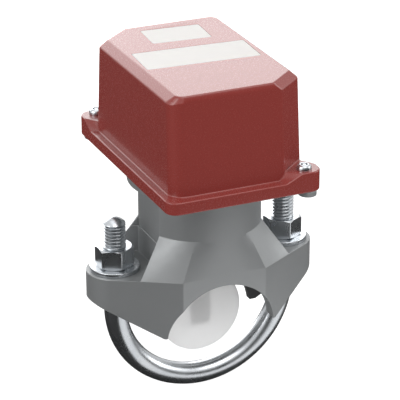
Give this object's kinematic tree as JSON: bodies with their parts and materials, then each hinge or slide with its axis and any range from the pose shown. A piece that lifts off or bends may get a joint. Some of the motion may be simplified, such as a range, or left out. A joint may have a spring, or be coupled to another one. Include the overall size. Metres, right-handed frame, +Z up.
{
  "type": "water flow detector",
  "caption": "Vane-type water flow alarm switch: a saddle clamped to a pipe by a U-bolt, a vane in the pipe and a red switch housing on top.",
  "frame": {"origin": "on the pipe's axis, straight under the vane stem", "axes": "+X across the pipe from the left stud to the right one, +Y along the pipe with the flow, +Z up through the stem to the housing"},
  "size_m": [0.1334, 0.132, 0.1973],
  "materials": {
    "red_enamel": "glossy red baked enamel on sheet metal",
    "cast_aluminium": "dull grey as-cast surface, fine grain",
    "bright_zinc": "bright zinc plated steel, threads rolled",
    "zinc_sheet": "zinc plated sheet steel",
    "vane_plastic": "translucent milky sheet plastic",
    "black_rubber": "moulded black rubber",
    "black_moulding": "black moulded thermoset",
    "white_moulding": "white moulded nylon",
    "spring_steel": "bright spring wire",
    "stainless": "turned stainless steel",
    "brass": "plain turned brass"
  },
  "bodies": {
    "root": {"saddle_casting": "cast_aluminium", "neck_casting": "cast_aluminium", "saddle_gasket": "black_rubber", "washer_left": "bright_zinc", "washer_right": "bright_zinc", "stem_seal": "black_rubber", "seal_retainer": "zinc_sheet", "retainer_screws": "bright_zinc", "pivot_pin": "stainless", "retard_spring": "spring_steel", "retard_housing": "black_moulding", "retard_screws": "bright_zinc", "mechanism_bracket": "zinc_sheet", "bracket_screws": "bright_zinc", "switch_body_left": "black_moulding", "switch_body_right": "black_moulding", "switch_screws": "bright_zinc", "terminal_screws": "brass", "base_plate": "cast_aluminium", "base_plate_screws": "bright_zinc", "earth_screw": "brass", "cover_seal": "black_rubber", "cover": "red_enamel", "cover_screw_front": "bright_zinc", "cover_screw_rear": "bright_zinc"},
    "clamp_rod": {"u_bolt": "bright_zinc"},
    "left_nut": {"nut_left": "bright_zinc"},
    "right_nut": {"nut_right": "bright_zinc"},
    "vane": {"vane_disc": "vane_plastic", "vane_stem": "stainless", "vane_clamp": "stainless", "vane_rivets": "stainless", "trip_lever": "zinc_sheet", "lever_pin": "stainless"},
    "plunger": {"retard_plunger": "brass", "actuator_arm": "zinc_sheet", "arm_clips": "spring_steel"},
    "left_button": {"switch_button_left": "white_moulding"},
    "right_button": {"switch_button_right": "white_moulding"},
    "dial": {"retard_dial": "white_moulding"}
  },
  "joints": [
    {"name": "vane_swing", "type": "hinge", "parent": "root", "child": "vane", "pos_m": [0, 0, 0.06266], "axis": [1, 0, 0], "range_deg": [0, 12.05], "deforming": ["stem_seal"]},
    {"name": "plunger_rise", "type": "slide", "parent": "root", "child": "plunger", "axis": [0, 0, 1], "range_m": [0, 0.00432], "stiffness_N_per_m": 400, "springref_m": -0.002, "deforming": ["retard_spring"]},
    {"name": "left_button_press", "type": "slide", "parent": "root", "child": "left_button", "axis": [0, 0, 1], "range_m": [0, 0.00151]},
    {"name": "right_button_press", "type": "slide", "parent": "root", "child": "right_button", "axis": [0, 0, 1], "range_m": [0, 0.00151]},
    {"name": "dial_turn", "type": "hinge", "parent": "root", "child": "dial", "pos_m": [0, 0, 0.143], "axis": [0, 0, 1], "range_deg": [0, 270]},
    {"name": "left_nut_turn", "type": "hinge", "parent": "root", "child": "left_nut", "pos_m": [-0.0508, 0, 0.046], "axis": [0, 0, 1], "range_deg": [0, 2521]},
    {"name": "right_nut_turn", "type": "hinge", "parent": "root", "child": "right_nut", "pos_m": [0.0508, 0, 0.046], "axis": [0, 0, 1], "range_deg": [0, 2521]},
    {"name": "clamp_travel", "type": "slide", "parent": "root", "child": "clamp_rod", "axis": [0, 0, -1], "range_m": [0, 0.01368]}
  ],
  "couplings": [
    {"joint": "vane_swing", "follows": "plunger_rise", "rad_per_m": 48.531},
    {"joint": "left_button_press", "follows": "plunger_rise", "ratio": 0.34758},
    {"joint": "right_button_press", "follows": "plunger_rise", "ratio": 0.34758},
    {"joint": "left_nut_turn", "follows": "clamp_travel", "rad_per_m": 3215.6},
    {"joint": "right_nut_turn", "follows": "clamp_travel", "rad_per_m": 3215.6}
  ]
}
